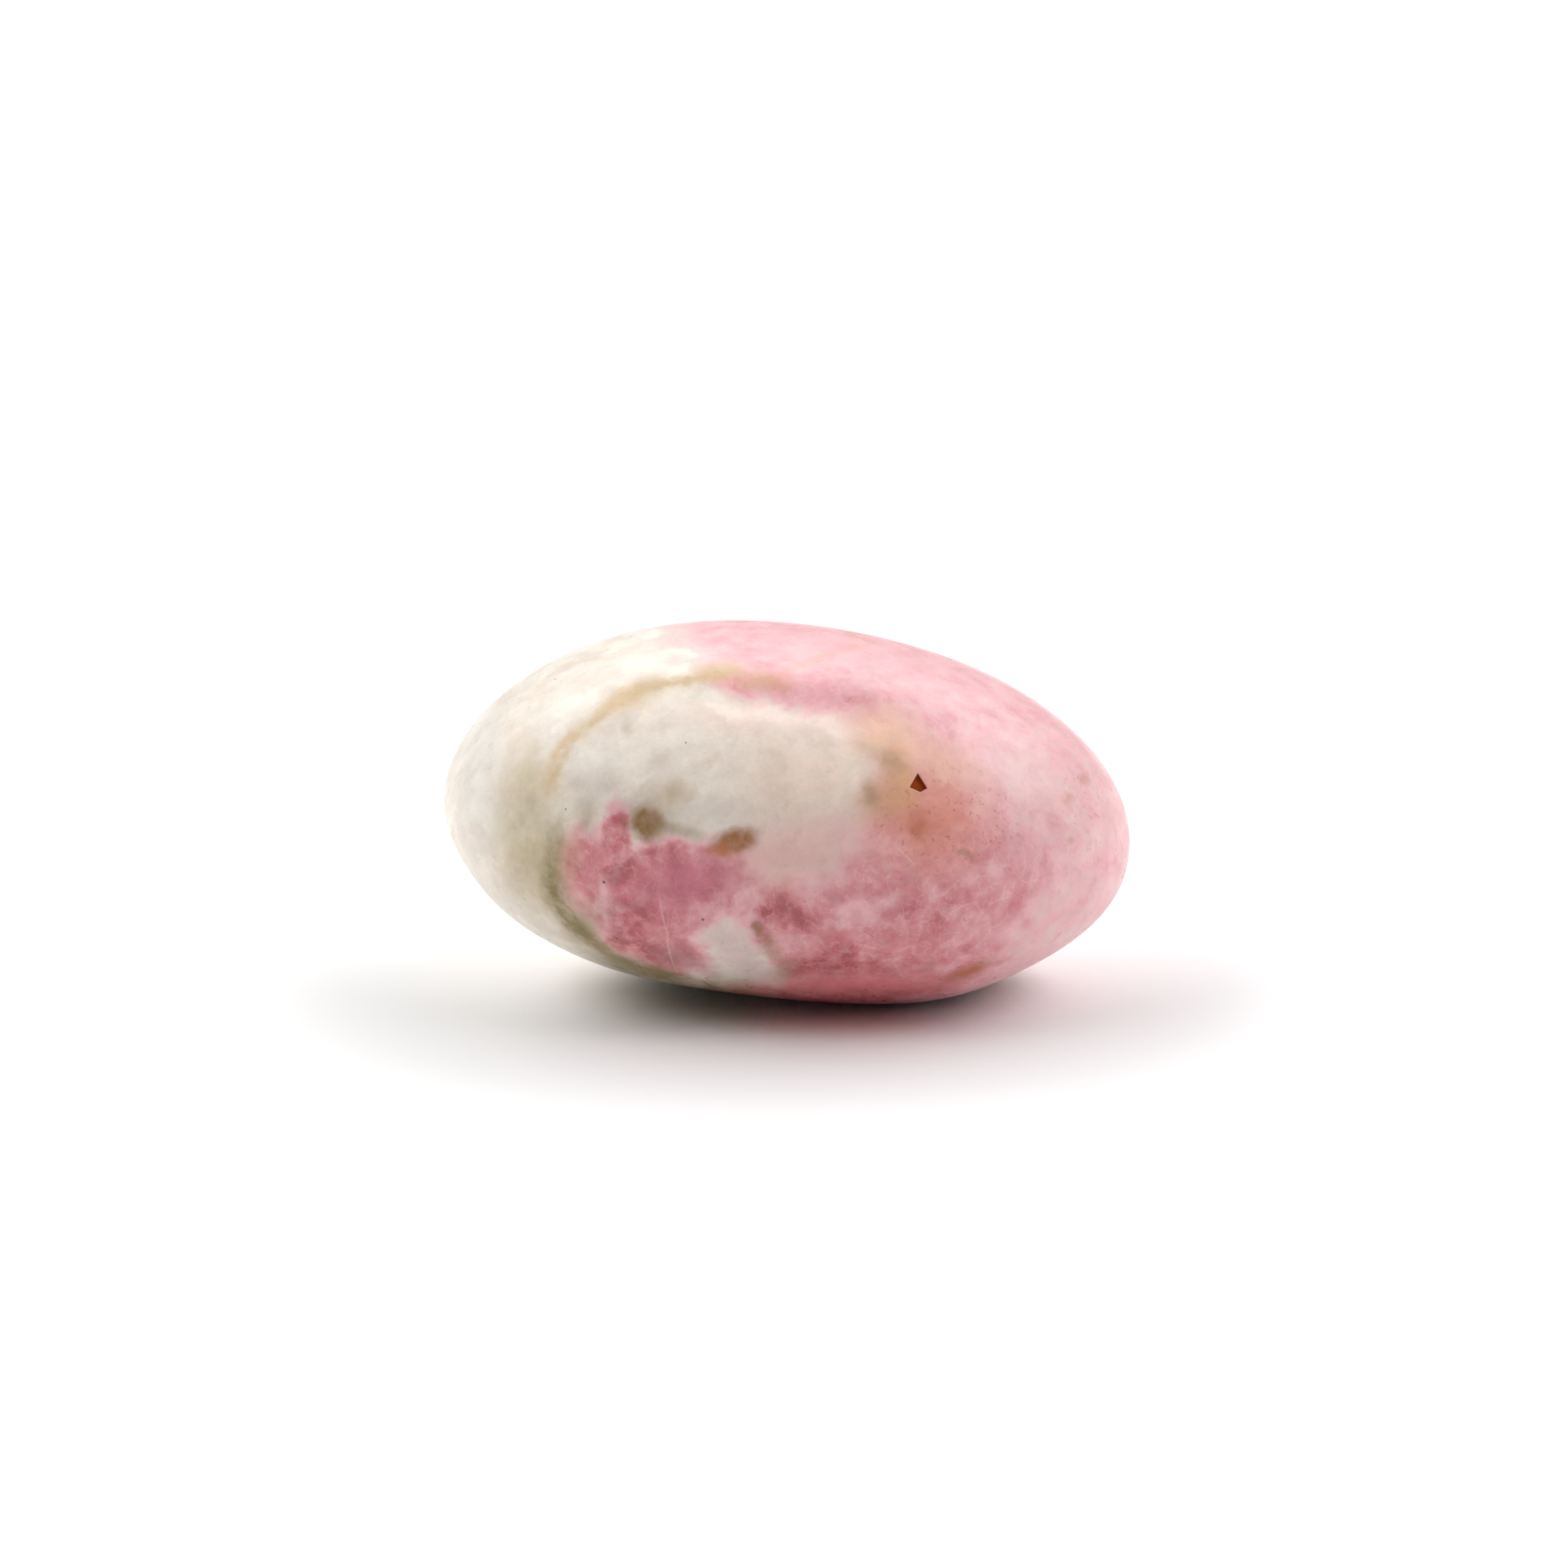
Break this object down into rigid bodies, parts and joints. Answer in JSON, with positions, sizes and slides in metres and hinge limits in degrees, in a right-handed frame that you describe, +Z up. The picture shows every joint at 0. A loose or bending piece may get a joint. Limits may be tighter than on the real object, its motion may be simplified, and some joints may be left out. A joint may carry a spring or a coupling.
{
  "type": "tugtupite pebble",
  "caption": "Tumbled, polished tugtupite pebble: an oval stone with soft worn flats, mottled rose pink and cream with olive-brown veins.",
  "frame": {"origin": "under the middle of the stone's box, on the surface that it rests on", "axes": "+X along the stone to the right end, which lies lower; -Y towards the front; +Z up"},
  "size_m": [0.03, 0.0192, 0.016],
  "materials": {
    "polished_tugtupite": "tumbled gloss polish over mottled rose pink, cream white and olive-brown"
  },
  "bodies": {
    "root": {"tugtupite_stone": "polished_tugtupite"}
  },
  "joints": []
}
